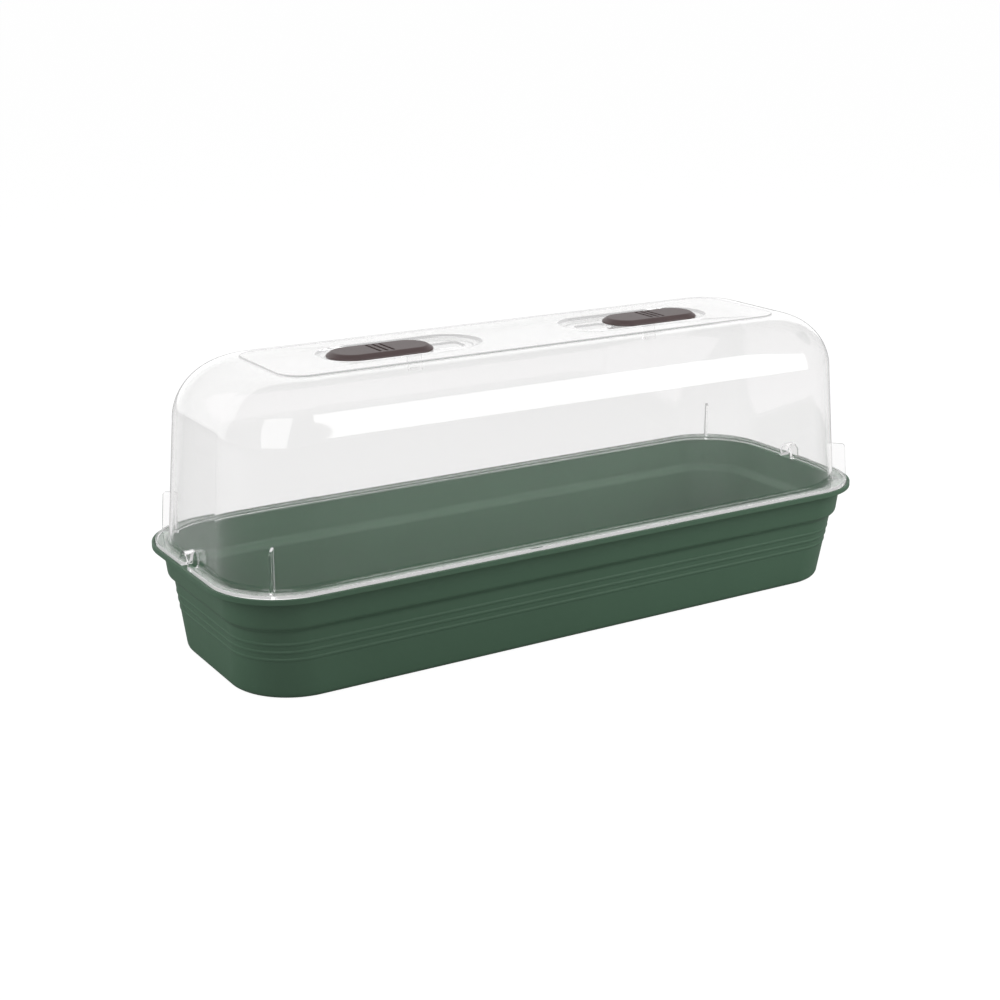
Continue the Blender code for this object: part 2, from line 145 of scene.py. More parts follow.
# Vent sliders
SLIDER_THICKNESS = 0.0034
SLIDER_EDGE = 0.0011
SLIDER_CHAMFER = 0.0034
KEEL_WIDTH = 0.0050
KEEL_LENGTH = 0.016
KEEL_CLEARANCE = 0.0004
FOOT_WIDTH = 0.0100
FOOT_LENGTH = 0.014
FOOT_THICKNESS = 0.0016
GROOVE_PITCH = 0.0046
GROOVE_WIDTH = 0.0019
GROOVE_LENGTH = 0.021
GROOVE_DEPTH = 0.0014
PLATE_FOOT_REACH = 0.0003
PLATE_EDGE_REACH = 0.0005
PLATE_TOP_REACH = 0.0009

# Worked out from the sizes above
FLANGE_TOP = FLANGE_BOTTOM + DOME_WALL
FOOT_HALF_X = HALF_LENGTH - DOME_END_INSET
FOOT_HALF_Y = HALF_WIDTH - DOME_SIDE_INSET
ROOF_SPRING = ROOF_HEIGHT - ROOF_STEP - ROOF_ROUND
SPRING_LEAN = (ROOF_SPRING - FLANGE_TOP) * math.tan(DOME_DRAFT)
ROOF_HALF_X = FOOT_HALF_X - SPRING_LEAN - ROOF_END_RUN
ROOF_HALF_Y = FOOT_HALF_Y - SPRING_LEAN - ROOF_SIDE_RUN
TRACK_FLOOR = ROOF_HEIGHT - TRACK_DEPTH
TRACK_X = SLIDER_X - VENT_TRAVEL / 2
TRACK_HALF_X = SLIDER_HALF_X + VENT_TRAVEL / 2 + SLIDE_CLEARANCE
TRACK_HALF_Y = SLIDER_HALF_Y + SLIDE_CLEARANCE
VENT_INNER = SLIDER_X - VENT_TRAVEL - SLIDER_HALF_X + VENT_COVER
CLIP_Y = TRACK_HALF_Y + CLIP_GAP

# Fineness and limits of the mesh helpers
CORNER_STEPS = 20
ROUND_STEPS = 20
ARC_STEPS = 6
BEVEL = {"segments": 2, "profile": 0.5, "affect": "EDGES", "clamp_overlap": True}
OVERLAP = 0.0010             # how far a cutter reaches past what it cuts
LEAST_STRAIGHT = 1e-5        # shortest straight left between two corners
LEVEL = 1e-7                 # heights this close count as the same
REACH_SHARE = 0.49           # most of an edge that one rounding may take
SMOOTH_ANGLE = math.radians(32)
NORMAL_WEIGHT = 50


# ---------------------------------------------------------------- camera, light and floor

CAMERA_TARGET = Vector((-0.00816, 0.01258, 0.07066))
CAMERA_AZIMUTH = math.radians(-31.729)
CAMERA_ELEVATION = math.radians(17.085)
CAMERA_DISTANCE = 1.1448
CAMERA_LENS = 61.41
SENSOR_WIDTH = 36.0

# The studio as a light and in reflections, and then as it is seen
STUDIO_GREY = 0.36
FLOOR_GREY = 0.42
FLOOR_SEEN_GREY = 0.15
FLOOR_GLOW = 0.94
FLOOR_RADIUS = 60
FLOOR_SEGMENTS = 96
WHITE = (1, 1, 1, 1)

# Lamps: name, centre, target, size, radiance, roll in degrees, lights matt surfaces, shows in gloss
MIDDLE = (0.0, 0.0, 0.1)
NEAR_CORNER = (-0.20, -0.06, 0.16)
LAMPS = (
    ("front_panel", (0.64, -0.93, 0.58), (0.64, 0.0, 0.58), (0.74, 0.80), 2.2, -7, True, True),
    ("corner_panel", (-0.95, -0.96, 0.78), NEAR_CORNER, (1.05, 1.30), 1.5, 0, False, True),
    ("left_panel", (-1.3, 0.35, 0.7), MIDDLE, (1.0, 0.9), 2.8, 0, True, False),
    ("fill_panel", (1.0, -0.9, 1.2), MIDDLE, (1.3, 1.2), 1.9, 0, True, False),
    ("back_panel", (0.3, 1.5, 0.90), (0.3, 0.0, 0.90), (5.0, 1.6), 0.53, 0, True, True),
)


def bearing(azimuth, elevation):
    """A unit vector from the object. Azimuth 0 points at the viewer of the front, along -Y."""
    flat = math.cos(elevation)
    return Vector((math.sin(azimuth) * flat, -math.cos(azimuth) * flat, math.sin(elevation)))


def add_camera():
    """The camera at the stated view."""
    data = bpy.data.cameras.new("camera")
    data.lens = CAMERA_LENS
    data.sensor_width = SENSOR_WIDTH
    camera = bpy.data.objects.new("camera", data)
    back = bearing(CAMERA_AZIMUTH, CAMERA_ELEVATION)
    camera.location = CAMERA_TARGET + back * CAMERA_DISTANCE
    camera.rotation_euler = (-back).to_track_quat("-Z", "Y").to_euler()
    bpy.context.scene.collection.objects.link(camera)
    bpy.context.scene.camera = camera


def add_panel(name, centre, target, size, radiance, roll, diffuse, glossy):
    """A soft rectangular lamp at a place, facing a target and rolled by some degrees. It lights
    matt surfaces, shows in gloss and through the dome, or does both. The camera doesn't see it."""
    data = bpy.data.lights.new(name, "AREA")
    data.shape = "RECTANGLE"
    data.size, data.size_y = size
    data.energy = radiance * math.pi * size[0] * size[1]
    lamp = bpy.data.objects.new(name, data)
    lamp.location = centre
    aim = (Vector(centre) - Vector(target)).to_track_quat("Z", "Y")
    lamp.rotation_euler = (aim @ Quaternion((0, 0, 1), math.radians(roll))).to_euler()
    lamp.visible_camera = False
    lamp.visible_diffuse = diffuse
    lamp.visible_glossy = glossy
    lamp.visible_transmission = glossy
    bpy.context.scene.collection.objects.link(lamp)


def seen_directly(nodes, links):
    """A socket that is 1 for what is seen straight or through the dome, and 0 for light and
    reflections. It isn't physical: it lets the backdrop be white and still be grey in the gloss."""
    path = nodes.new("ShaderNodeLightPath")
    either = nodes.new("ShaderNodeMath")
    either.operation = "MAXIMUM"
    links.new(path.outputs["Is Camera Ray"], either.inputs[0])
    links.new(path.outputs["Is Transmission Ray"], either.inputs[1])
    return either.outputs["Value"]


def add_world():
    """A studio that is white to look at and grey as a light, which a real one can't be."""
    world = bpy.data.worlds.new("studio")
    world.use_nodes = True
    nodes, links = world.node_tree.nodes, world.node_tree.links
    grey = nodes["Background"]
    grey.inputs["Color"].default_value = WHITE
    grey.inputs["Strength"].default_value = STUDIO_GREY
    white = nodes.new("ShaderNodeBackground")
    white.inputs["Color"].default_value = WHITE
    mix = nodes.new("ShaderNodeMixShader")
    links.new(seen_directly(nodes, links), mix.inputs["Fac"])
    links.new(grey.outputs["Background"], mix.inputs[1])
    links.new(white.outputs["Background"], mix.inputs[2])
    links.new(mix.outputs["Shader"], nodes["World Output"].inputs["Surface"])
    bpy.context.scene.world = world


def add_floor():
    """A pale floor that runs out of sight. As seen it mostly glows, so its shadow is faint."""
    shape = bmesh.new()
    bmesh.ops.create_circle(shape, cap_ends=True, segments=FLOOR_SEGMENTS,
                            radius=FLOOR_RADIUS)
    floor = mesh_object("floor", shape)
    material, nodes, links, shader = new_material("pale floor")
    nodes.remove(shader)
    matt = nodes.new("ShaderNodeBsdfDiffuse")
    matt.inputs["Color"].default_value = (FLOOR_GREY, FLOOR_GREY, FLOOR_GREY, 1)
    veil = nodes.new("ShaderNodeBsdfDiffuse")
    veil.inputs["Color"].default_value = (FLOOR_SEEN_GREY, FLOOR_SEEN_GREY, FLOOR_SEEN_GREY, 1)
    glow = nodes.new("ShaderNodeEmission")
    glow.inputs["Strength"].default_value = FLOOR_GLOW
    lit = nodes.new("ShaderNodeAddShader")
    links.new(veil.outputs["BSDF"], lit.inputs[0])
    links.new(glow.outputs["Emission"], lit.inputs[1])
    mix = nodes.new("ShaderNodeMixShader")
    links.new(seen_directly(nodes, links), mix.inputs["Fac"])
    links.new(matt.outputs["BSDF"], mix.inputs[1])
    links.new(lit.outputs["Shader"], mix.inputs[2])
    links.new(mix.outputs["Shader"], nodes["Material Output"].inputs["Surface"])
    floor.data.materials.append(material)


# ---------------------------------------------------------------- mesh helpers

def outline(half_x, half_y, corner, z, centre_x=0.0):
    """A rounded rectangle at one height, anticlockwise seen from above."""
    corner = min(corner, half_x - LEAST_STRAIGHT, half_y - LEAST_STRAIGHT)
    points = []
    for quarter, (side_x, side_y) in enumerate(((1, 1), (-1, 1), (-1, -1), (1, -1))):
        for step in range(CORNER_STEPS + 1):
            angle = math.radians(90 * (quarter + step / CORNER_STEPS))
            x = centre_x + side_x * (half_x - corner) + corner * math.cos(angle)
            y = side_y * (half_y - corner) + corner * math.sin(angle)
            points.append((x, y, z))
    return points


def rounded(profile):
    """A profile with its corners eased. Each point is (across, up, reach), where reach is how
    far from the corner the rounding starts."""
    points = []
    for index, (across, up, reach) in enumerate(profile):
        here = Vector((across, up))
        if reach == 0 or index in (0, len(profile) - 1):
            points.append(here)
            continue
        before = Vector(profile[index - 1][:2]) - here
        after = Vector(profile[index + 1][:2]) - here
        start = here + before.normalized() * min(reach, REACH_SHARE * before.length)
        end = here + after.normalized() * min(reach, REACH_SHARE * after.length)
        for step in range(ARC_STEPS + 1):
            t = step / ARC_STEPS
            points.append(start * (1 - t) ** 2 + here * 2 * t * (1 - t) + end * t ** 2)
    return [(point.x, point.y) for point in points]


def mesh_object(name, shape):
    """An object from a bmesh, which is freed."""
    mesh = bpy.data.meshes.new(name)
    shape.to_mesh(mesh)
    shape.free()
    item = bpy.data.objects.new(name, mesh)
    bpy.context.scene.collection.objects.link(item)
    return item


def loft(name, rings):
    """A closed skin over rings that have equal numbers of points, capped at both ends."""
    shape = bmesh.new()
    loops = [[shape.verts.new(point) for point in ring] for ring in rings]
    count = len(loops[0])
    for lower, upper in zip(loops, loops[1:]):
        for here in range(count):
            after = (here + 1) % count
            shape.faces.new((lower[here], lower[after], upper[after], upper[here]))
    shape.faces.new(reversed(loops[0]))
    shape.faces.new(loops[-1])
    bmesh.ops.recalc_face_normals(shape, faces=shape.faces)
    return mesh_object(name, shape)


def block(name, low, high, bevel=0.0):
    """A box between two corners, with eased edges."""
    shape = bmesh.new()
    bmesh.ops.create_cube(shape, size=1.0)
    for vert in shape.verts:
        vert.co = [a + (b - a) * (part + 0.5) for a, b, part in zip(low, high, vert.co)]
    if bevel:
        bmesh.ops.bevel(shape, geom=shape.edges[:], offset=bevel, **BEVEL)
    return mesh_object(name, shape)


def prism(name, profile, thickness, bevel=0.0):
    """A flat outline in X and Y, extruded to a thickness that is centred on Z = 0."""
    shape = bmesh.new()
    verts = [shape.verts.new((x, y, -thickness / 2)) for x, y in profile]
    base = shape.faces.new(verts)
    made = bmesh.ops.extrude_face_region(shape, geom=[base])["geom"]
    for vert in made:
        if isinstance(vert, bmesh.types.BMVert):
            vert.co.z += thickness
    bmesh.ops.recalc_face_normals(shape, faces=shape.faces)
    if bevel:
        rims = [edge for edge in shape.edges
                if abs(edge.verts[0].co.z - edge.verts[1].co.z) < LEVEL]
        bmesh.ops.bevel(shape, geom=rims, offset=bevel, **BEVEL)
    return mesh_object(name, shape)


def combine(item, tool, operation):
    """Join a tool to an item, or cut it away, and remove the tool."""
    change = item.modifiers.new(tool.name, "BOOLEAN")
    change.operation = operation
    change.solver = "EXACT"
    change.object = tool
    bpy.context.view_layer.update()
    graph = bpy.context.evaluated_depsgraph_get()
    mesh = bpy.data.meshes.new_from_object(item.evaluated_get(graph))
    item.modifiers.clear()
    item.data = mesh
    bpy.data.objects.remove(tool, do_unlink=True)


def finish(item, material, body, node):
    """Smooth an item, give it its material and let it stand for its CAD node."""
    item.data.materials.clear()
    item.data.materials.append(material)
    item.data.polygons.foreach_set("material_index", [0] * len(item.data.polygons))
    item.data.shade_smooth()
    item.data.set_sharp_from_angle(angle=SMOOTH_ANGLE)
    weigh = item.modifiers.new("weighted normals", "WEIGHTED_NORMAL")
    weigh.mode = "FACE_AREA"
    weigh.weight = NORMAL_WEIGHT
    weigh.keep_sharp = True
    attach(item, body)
    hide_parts(node)


# ---------------------------------------------------------------- tray

def tray_ring(inset, z):
    """An outline of the tray, in from its rim. The lower wall's corners open out as it rises."""
    low_inset, low_z = SHOULDER_LOW
    part = min(max((z - BASE_FILLET) / (low_z - BASE_FILLET), 0.0), 1.0)
    wall_inset = BASE_INSET + (low_inset - BASE_INSET) * part
    wall_corner = BASE_CORNER + (RIM_CORNER - low_inset - BASE_CORNER) * part
    corner = wall_corner + wall_inset - inset
    return outline(HALF_LENGTH - inset, HALF_WIDTH - inset, corner, z)


def lower_wall(z):
    """Inset of the lower wall's outside at a height."""
    low_inset, low_z = SHOULDER_LOW
    return BASE_INSET + (low_inset - BASE_INSET) * (z - BASE_FILLET) / (low_z - BASE_FILLET)


def tray_profile():
    """The tray's section: up its outside, over the rim and ledge and down its inside."""
    profile = [(BASE_INSET + 2 * BASE_FILLET, 0, 0), (BASE_INSET, 0, BASE_FILLET)]
    for rib in RIB_HEIGHTS:
        profile.append((lower_wall(rib - RIB_HALF), rib - RIB_HALF, RIB_FOOT_REACH))
        profile.append((lower_wall(rib) - RIB_RELIEF, rib, RIB_CREST_REACH))
        profile.append((lower_wall(rib + RIB_HALF), rib + RIB_HALF, RIB_FOOT_REACH))
    under = SEAT_TOP - TRAY_WALL
    low = TRAY_HEIGHT - LIP_HEIGHT
    profile += [
        (*SHOULDER_LOW, SHOULDER_REACH),
        (*SHOULDER_HIGH, SHOULDER_REACH),
        (WALL_TOP_INSET, under, WALL_TOP_REACH),
        (LIP_WIDTH, under, LIP_ROOT_REACH),
        (LIP_WIDTH, low, LIP_INNER_REACH),
        (0, low, LIP_FOOT_REACH),
        (0, TRAY_HEIGHT, LIP_ROUND),
        (LIP_WIDTH, TRAY_HEIGHT, LIP_ROUND),
        (LIP_WIDTH, SEAT_TOP, SEAT_REACH),
        (WALL_TOP_INSET + TRAY_WALL, SEAT_TOP, WALL_TOP_REACH),
    ]
    lift = TRAY_WALL / 2
    profile += [
        (SHOULDER_HIGH[0] + TRAY_WALL, SHOULDER_HIGH[1] + lift, SHOULDER_REACH),
        (SHOULDER_LOW[0] + TRAY_WALL, SHOULDER_LOW[1] + lift, SHOULDER_REACH),
        (BASE_INSET + TRAY_WALL, TRAY_WALL, BASE_FILLET - TRAY_WALL),
        (BASE_INSET + 2 * BASE_FILLET, TRAY_WALL, 0),
    ]
    return profile


def make_tray():
    """The green tray."""
    rings = [tray_ring(inset, z) for inset, z in rounded(tray_profile())]
    tray = loft("seed_tray", rings)
    finish(tray, green_plastic(), "tray", "tray")


# ---------------------------------------------------------------- dome

def dome_wall(z):
    """Half length, half width and corner of the dome's outside wall at a height."""
    lean = (z - FLANGE_TOP) * math.tan(DOME_DRAFT)
    return FOOT_HALF_X - lean, FOOT_HALF_Y - lean, DOME_CORNER - lean / 2


def dome_skin(depth):
    """The rings of the wall and roof from the foot up, this deep inside the outer surface."""
    fillet = FOOT_FILLET + depth
    rings = []
    for step in range(ARC_STEPS + 1):
        angle = math.radians(90 * step / ARC_STEPS)
        z = FLANGE_TOP - depth + fillet * (1 - math.cos(angle))
        half_x, half_y, corner = dome_wall(max(z, FLANGE_TOP))
        out = fillet * (1 - math.sin(angle)) - depth
        rings.append(outline(half_x + out, half_y + out, corner + out, z))
    spring = [size - depth for size in dome_wall(ROOF_SPRING)]
    roof = (ROOF_HALF_X + CREASE_RUN, ROOF_HALF_Y + CREASE_RUN, ROOF_CORNER + CREASE_RUN)
    height = ROOF_ROUND - depth
    for step in range(ROUND_STEPS + 1):
        angle = math.radians(90 * step / ROUND_STEPS)
        part = 1 - math.cos(angle)
        sizes = [wall + (flat - wall) * part for wall, flat in zip(spring, roof)]
        rings.append(outline(*sizes, ROOF_SPRING + height * math.sin(angle)))
    top = ROOF_HEIGHT - depth
    crease = rounded([
        (CREASE_RUN, top - ROOF_STEP, 0),
        (ROOF_STEP, top - ROOF_STEP, CREASE_REACH),
        (0, top, CREASE_REACH),
        (-CREASE_RUN, top, 0),
    ])
    for out, z in crease[1:]:
        rings.append(outline(ROOF_HALF_X + out, ROOF_HALF_Y + out, ROOF_CORNER + out, z))
    return rings


def flange_rings():
    """The rings from under the flange, around its beaded edge and in over its top."""
    inner = FLANGE_INSET + BEAD_WIDTH
    bead = FLANGE_TOP + BEAD_RISE
    profile = [
        (inner, FLANGE_BOTTOM, 0),
        (FLANGE_INSET, FLANGE_BOTTOM, FLANGE_EDGE_REACH),
        (FLANGE_INSET, bead, BEAD_REACH),
        (inner, bead, BEAD_REACH),
        (inner + BEAD_LEAN, FLANGE_TOP, FLANGE_EDGE_REACH),
        (inner + BEAD_WIDTH / 2, FLANGE_TOP, 0),
    ]
    return [tray_ring(*point) for point in rounded(profile)]


def fin_profile(angle):
    """Outline of a fin at this angle from the X axis, from the corner's centre out and up. Its
    outer edge leans in as much as the wall does."""
    outer = RIM_CORNER - FLANGE_INSET - FLANGE_CLEARANCE
    foot_x, foot_y, foot_corner = dome_wall(FLANGE_TOP + FIN_HEIGHT)
    shift_x = foot_x - foot_corner - HALF_LENGTH + RIM_CORNER
    shift_y = foot_y - foot_corner - HALF_WIDTH + RIM_CORNER
    shift = shift_x * math.cos(angle) + shift_y * math.sin(angle)
    inner = shift + foot_corner - DOME_WALL / 2
    low = FLANGE_TOP - DOME_WALL / 2
    high = FLANGE_TOP + FIN_HEIGHT
    lean = FIN_HEIGHT * math.tan(DOME_DRAFT)
    profile = [(inner, low), (outer, low)]
    for step in range(ARC_STEPS + 1):
        bend = math.radians(90 * step / ARC_STEPS)
        x = outer - lean - FIN_ROUND * (1 - math.cos(bend))
        profile.append((x, high - FIN_ROUND * (1 - math.sin(bend))))
    profile.append((inner, high))
    return profile


def add_fins(dome):
    """Four upright plates that brace the wall against the flange, one across each corner."""
    for number, (side_x, side_y) in enumerate(((1, 1), (-1, 1), (-1, -1), (1, -1))):
        angle = FIN_ANGLES[0] if side_x == side_y else FIN_ANGLES[1]
        fin = prism(f"fin_{number}", fin_profile(angle), FIN_THICKNESS, EDGE_BREAK)
        turn = math.atan2(side_y * math.sin(angle), side_x * math.cos(angle))
        fin.rotation_euler = (math.radians(90), 0, turn)
        centre_x, centre_y = HALF_LENGTH - RIM_CORNER, HALF_WIDTH - RIM_CORNER
        fin.location = (side_x * centre_x, side_y * centre_y, 0)
        combine(dome, fin, "UNION")


def arch_profile(width, height, low):
    """An upright outline with a round top, in Y and Z."""
    radius = width / 2
    points = [(-radius, low)]
    steps = 3 * ARC_STEPS
    for step in range(steps + 1):
        angle = math.radians(180 - 180 * step / steps)
        points.append((radius * math.cos(angle), height - radius + radius * math.sin(angle)))
    points.append((radius, low))
    return points


def add_arches(dome):
    """A tunnel through the flange and wall at each end."""
    outer_x = HALF_LENGTH - FLANGE_INSET
    inner_x = FOOT_HALF_X - DOME_WALL / 2 - ARCH_HEIGHT * math.tan(DOME_DRAFT)
    top = FLANGE_BOTTOM + ARCH_HEIGHT
    shell = arch_profile(ARCH_WIDTH, top, FLANGE_BOTTOM)
    hole = arch_profile(ARCH_WIDTH - 2 * DOME_WALL, top - DOME_WALL, FLANGE_BOTTOM - OVERLAP)
    for side in (-1, 1):
        name = "left" if side < 0 else "right"
        length = outer_x - inner_x
        cover = prism(f"{name}_arch", shell, length, EDGE_BREAK)
        cover.rotation_euler = (math.radians(90), 0, math.radians(90))
        cover.location.x = side * (outer_x + inner_x) / 2
        combine(dome, cover, "UNION")
        reach = length + 4 * DOME_WALL
        bore = prism(f"{name}_arch_bore", hole, reach)
        bore.rotation_euler = (math.radians(90), 0, math.radians(90))
        bore.location.x = side * (outer_x + OVERLAP - reach / 2)
        combine(dome, bore, "DIFFERENCE")


def add_vent(dome, side):
    """A sunk track in the roof, with the vent at its inner end and a slot for the keel."""
    name = "left" if side < 0 else "right"
    centre = side * TRACK_X
    below = TRACK_FLOOR - DOME_WALL
    rim = ROOF_HEIGHT - DOME_WALL / 2

    def level(grow, z):
        return outline(TRACK_HALF_X + grow, TRACK_HALF_Y + grow, TRACK_HALF_Y + grow, z, centre)

    pan_section = rounded([
        (-TRACK_SLOPE, below, 0),
        (DOME_WALL, below, PAN_REACH),
        (TRACK_SLOPE + DOME_WALL, rim, 0),
    ])
    pan = loft(f"{name}_pan", [level(*point) for point in pan_section])
    combine(dome, pan, "UNION")
    track_section = rounded([
        (-TRACK_SLOPE, TRACK_FLOOR, 0),
        (0, TRACK_FLOOR, TRACK_FLOOR_REACH),
        (TRACK_SLOPE, ROOF_HEIGHT, TRACK_RIM_REACH),
        (TRACK_SLOPE + 3 * OVERLAP, ROOF_HEIGHT + TRACK_EDGE_LIFT, 0),
        (TRACK_SLOPE + 3 * OVERLAP, ROOF_HEIGHT + OVERLAP, 0),
    ])
    hollow = loft(f"{name}_track", [level(*point) for point in track_section])
    combine(dome, hollow, "DIFFERENCE")
    vent_x = side * (VENT_INNER + VENT_LENGTH / 2)
    vent_section = rounded([
        (VENT_FLARE, below - OVERLAP, 0),
        (0, below, VENT_REACH),
        (0, TRACK_FLOOR, VENT_REACH),
        (VENT_FLARE, TRACK_FLOOR + OVERLAP, 0),
    ])
    vent = loft(f"{name}_vent", [
        outline(VENT_LENGTH / 2 + out, VENT_WIDTH / 2 + out, VENT_CORNER + out, z, vent_x)
        for out, z in vent_section
    ])
    combine(dome, vent, "DIFFERENCE")
    slot_half = KEEL_WIDTH / 2 + KEEL_CLEARANCE
    slot_ends = sorted((side * (VENT_INNER + VENT_LENGTH / 2),
                        side * (SLIDER_X + KEEL_LENGTH / 2 + KEEL_CLEARANCE)))
    slot = block(f"{name}_slot", (slot_ends[0], -slot_half, below - 2 * OVERLAP),
                 (slot_ends[1], slot_half, TRACK_FLOOR + 2 * OVERLAP))
    combine(dome, slot, "DIFFERENCE")


def add_clips(dome, side):
    """Two small clips under the roof, one on each side of a track, with their toes outward."""
    name = "left" if side < 0 else "right"
    centre = side * TRACK_X
    low = ROOF_HEIGHT - DOME_WALL - TRACK_DEPTH / 2 - CLIP_DROP
    for edge in (-1, 1):
        label = "front" if edge < 0 else "back"
        faces = sorted((edge * CLIP_Y, edge * (CLIP_Y - CLIP_THICKNESS)))
        body = block(f"{name}_{label}_clip", (centre - CLIP_WIDTH / 2, faces[0], low),
                     (centre + CLIP_WIDTH / 2, faces[1], ROOF_HEIGHT - DOME_WALL / 2), EDGE_BREAK)
        combine(dome, body, "UNION")
        ends = sorted((edge * (CLIP_Y + CLIP_TOE), edge * (CLIP_Y - CLIP_THICKNESS / 2)))
        toe = block(f"{name}_{label}_toe",
                    (centre - CLIP_WIDTH / 2 + CLIP_TOE, ends[0], low + CLIP_TOE),
                    (centre + CLIP_WIDTH / 2 - CLIP_TOE, ends[1], low + 2 * CLIP_TOE), EDGE_BREAK)
        combine(dome, toe, "UNION")


def cut_notch(dome):
    """A shallow finger notch in the front edge of the flange."""
    edge = -(HALF_WIDTH - FLANGE_INSET)
    notch = block("front_notch",
                  (NOTCH_X - NOTCH_LENGTH / 2, edge - OVERLAP, FLANGE_BOTTOM - OVERLAP),
                  (NOTCH_X + NOTCH_LENGTH / 2, edge + NOTCH_DEPTH, FLANGE_TOP + 2 * BEAD_RISE),
                  2 * EDGE_BREAK)
    combine(dome, notch, "DIFFERENCE")


def make_dome():
    """The clear dome."""
    rings = list(reversed(dome_skin(DOME_WALL))) + flange_rings() + dome_skin(0.0)
    dome = loft("clear_dome", rings)
    add_fins(dome)
    add_arches(dome)
    for side in (-1, 1):
        add_clips(dome, side)
        add_vent(dome, side)
    cut_notch(dome)
    finish(dome, clear_plastic(), "dome", "dome")


# ---------------------------------------------------------------- vent sliders

def make_slider(side, material):
    """A brown shutter: a chamfered plate with grip grooves, on a keel with a foot."""
    name = "left" if side < 0 else "right"
    centre = side * SLIDER_X
    low = TRACK_FLOOR + SLIDE_GAP
    top = low + SLIDER_THICKNESS
    section = rounded([
        (-SLIDER_CHAMFER, low, 0),
        (0, low, PLATE_FOOT_REACH),
        (0, low + SLIDER_EDGE, PLATE_EDGE_REACH),
        (-SLIDER_CHAMFER, top, PLATE_TOP_REACH),
        (-2 * SLIDER_CHAMFER, top, 0),
    ])
    plate = loft(f"{name}_shutter", [
        outline(SLIDER_HALF_X + out, SLIDER_HALF_Y + out, SLIDER_HALF_Y + out, z, centre)
        for out, z in section
    ])
    foot_top = TRACK_FLOOR - DOME_WALL - SLIDE_GAP
    foot_low = foot_top - FOOT_THICKNESS
    keel = block(name + "_keel",
                 (centre - KEEL_LENGTH / 2, -KEEL_WIDTH / 2, foot_low + FOOT_THICKNESS / 2),
                 (centre + KEEL_LENGTH / 2, KEEL_WIDTH / 2, low + SLIDER_EDGE / 2))
    combine(plate, keel, "UNION")
    foot = block(name + "_foot", (centre - FOOT_LENGTH / 2, -FOOT_WIDTH / 2, foot_low),
                 (centre + FOOT_LENGTH / 2, FOOT_WIDTH / 2, foot_top), EDGE_BREAK)
    combine(plate, foot, "UNION")
    for number in (-1, 0, 1):
        x = centre + number * GROOVE_PITCH
        profile = [(x + dx, dy) for dx, dy in groove_outline()]
        groove = prism(f"{name}_groove", profile, 2 * GROOVE_DEPTH)
        groove.location.z = top
        combine(plate, groove, "DIFFERENCE")
    finish(plate, material, f"{name}_vent", f"{name}_vent_slider")


def groove_outline():
    """A grip groove with round ends."""
    radius = GROOVE_WIDTH / 2
    points = []
    for end in (1, -1):
        for step in range(2 * ARC_STEPS + 1):
            angle = math.radians(180 * step / (2 * ARC_STEPS)) + (0 if end > 0 else math.pi)
            points.append((radius * math.cos(angle),
                           end * (GROOVE_LENGTH / 2 - radius) + radius * math.sin(angle)))
    return points


# ---------------------------------------------------------------- materials

# Each tone is a pair, between which the colour drifts
GREEN = ((0.085, 0.165, 0.105), (0.074, 0.143, 0.091))
BROWN = ((0.096, 0.062, 0.061), (0.083, 0.053, 0.052))
GREEN_ROUGHNESS, BROWN_ROUGHNESS = 0.45, 0.42
GREEN_GLOSS, BROWN_GLOSS = 0.35, 0.80
CLOUD_NOISE = (18.0, 4.0)          # scale and detail of the drift in colour
GRAIN_NOISE = (1200.0, 3.0)
GRAIN_SMOOTHER, GRAIN_ROUGHER = 0.05, 0.07
GRAIN_BUMP = (0.10, 0.00002)       # strength and distance

CLEAR_TINT = (0.942, 0.938, 0.938, 1)
CLEAR_IOR = 1.49
CLEAR_ROUGHEST = 0.06
FLOW_NOISE = (9.0, 2.0)
FLOW_BUMP = (0.25, 0.0004)
SHADOW_TINT = (0.93, 0.94, 0.94, 1)
TRAPPED_DEPTH = 3.5                # the render follows only four glossy bounces
# painted glow: the grey light that the clear plastic gives off on rays trapped past the glossy
# bounces the render follows
TRAPPED_GLOW_TONE = (0.32, 0.32, 0.32, 1)


def new_material(name):
    """A node material, its nodes, its links and its shader."""
    material = bpy.data.materials.new(name)
    material.use_nodes = True
    nodes = material.node_tree.nodes
    return material, nodes, material.node_tree.links, nodes["Principled BSDF"]


def noise(nodes, links, place, scale, detail):
    """Noise that is fixed to the object."""
    texture = nodes.new("ShaderNodeTexNoise")
    texture.inputs["Scale"].default_value = scale
    texture.inputs["Detail"].default_value = detail
    links.new(place.outputs["Object"], texture.inputs["Vector"])
    return texture.outputs["Fac"]


def roughen(nodes, links, source, shader, low, high):
    """Let a noise vary a shader's roughness between two values."""
    spread = nodes.new("ShaderNodeMapRange")
    spread.inputs["To Min"].default_value = low
    spread.inputs["To Max"].default_value = high
    links.new(source, spread.inputs["Value"])
    links.new(spread.outputs["Result"], shader.inputs["Roughness"])


def emboss(nodes, links, source, shader, strength, distance):
    """Let a noise bump a shader's surface."""
    bump = nodes.new("ShaderNodeBump")
    bump.inputs["Strength"].default_value = strength
    bump.inputs["Distance"].default_value = distance
    links.new(source, bump.inputs["Height"])
    links.new(bump.outputs["Normal"], shader.inputs["Normal"])


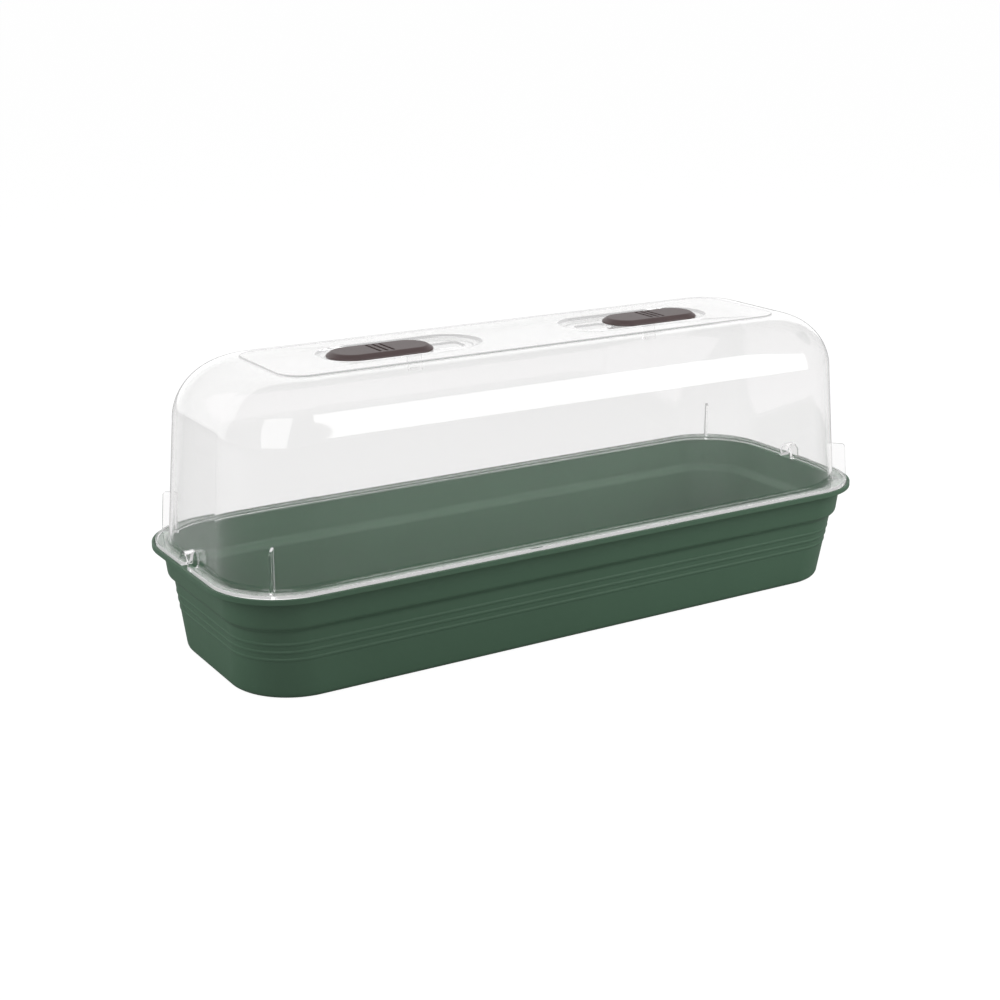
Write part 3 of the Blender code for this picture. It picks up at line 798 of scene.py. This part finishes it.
def grained(name, colour, dark, roughness, gloss):
    """Moulded plastic with a fine grain: its colour drifts a little between two tones, its
    roughness varies, and a small bump breaks up the highlights."""
    material, nodes, links, shader = new_material(name)
    shader.inputs["Specular IOR Level"].default_value = gloss
    place = nodes.new("ShaderNodeTexCoord")
    cloud = noise(nodes, links, place, *CLOUD_NOISE)
    tone = nodes.new("ShaderNodeMix")
    tone.data_type = "RGBA"
    tone.inputs["A"].default_value = (*dark, 1)
    tone.inputs["B"].default_value = (*colour, 1)
    links.new(cloud, tone.inputs["Factor"])
    links.new(tone.outputs["Result"], shader.inputs["Base Color"])
    grain = noise(nodes, links, place, *GRAIN_NOISE)
    smooth, rough = roughness - GRAIN_SMOOTHER, roughness + GRAIN_ROUGHER
    roughen(nodes, links, grain, shader, smooth, rough)
    emboss(nodes, links, grain, shader, *GRAIN_BUMP)
    return material


def green_plastic():
    """Dark green polypropylene with a fine satin grain."""
    return grained("tray green", *GREEN, GREEN_ROUGHNESS, GREEN_GLOSS)


def brown_plastic():
    """Grey-brown moulded plastic."""
    return grained("vent brown", *BROWN, BROWN_ROUGHNESS, BROWN_GLOSS)


def clear_plastic():
    """Clear plastic with a faint flow of the moulding in its surface. Two things in it aren't
    physical: lamps shine straight through it, and rays trapped in it past the bounces that the
    render follows end in a grey glow, where they would otherwise end in black."""
    material, nodes, links, shader = new_material("clear plastic")
    shader.inputs["Base Color"].default_value = CLEAR_TINT
    shader.inputs["Transmission Weight"].default_value = 1.0
    shader.inputs["IOR"].default_value = CLEAR_IOR
    place = nodes.new("ShaderNodeTexCoord")
    flow = noise(nodes, links, place, *FLOW_NOISE)
    roughen(nodes, links, flow, shader, 0.0, CLEAR_ROUGHEST)
    emboss(nodes, links, flow, shader, *FLOW_BUMP)
    path = nodes.new("ShaderNodeLightPath")
    trapped = nodes.new("ShaderNodeMath")
    trapped.operation = "GREATER_THAN"
    trapped.inputs[1].default_value = TRAPPED_DEPTH
    links.new(path.outputs["Glossy Depth"], trapped.inputs[0])
    links.new(trapped.outputs["Value"], shader.inputs["Emission Strength"])
    shader.inputs["Emission Color"].default_value = TRAPPED_GLOW_TONE
    through = nodes.new("ShaderNodeBsdfTransparent")
    through.inputs["Color"].default_value = SHADOW_TINT
    mix = nodes.new("ShaderNodeMixShader")
    links.new(path.outputs["Is Shadow Ray"], mix.inputs["Fac"])
    links.new(shader.outputs["BSDF"], mix.inputs[1])
    links.new(through.outputs["BSDF"], mix.inputs[2])
    links.new(mix.outputs["Shader"], nodes["Material Output"].inputs["Surface"])
    return material


def main():
    """Set the studio up and build the object."""
    bpy.context.scene.view_settings.view_transform = "Standard"
    add_camera()
    add_world()
    add_floor()
    for lamp in LAMPS:
        add_panel(*lamp)
    make_tray()
    make_dome()
    brown = brown_plastic()
    for side in (-1, 1):
        make_slider(side, brown)


main()
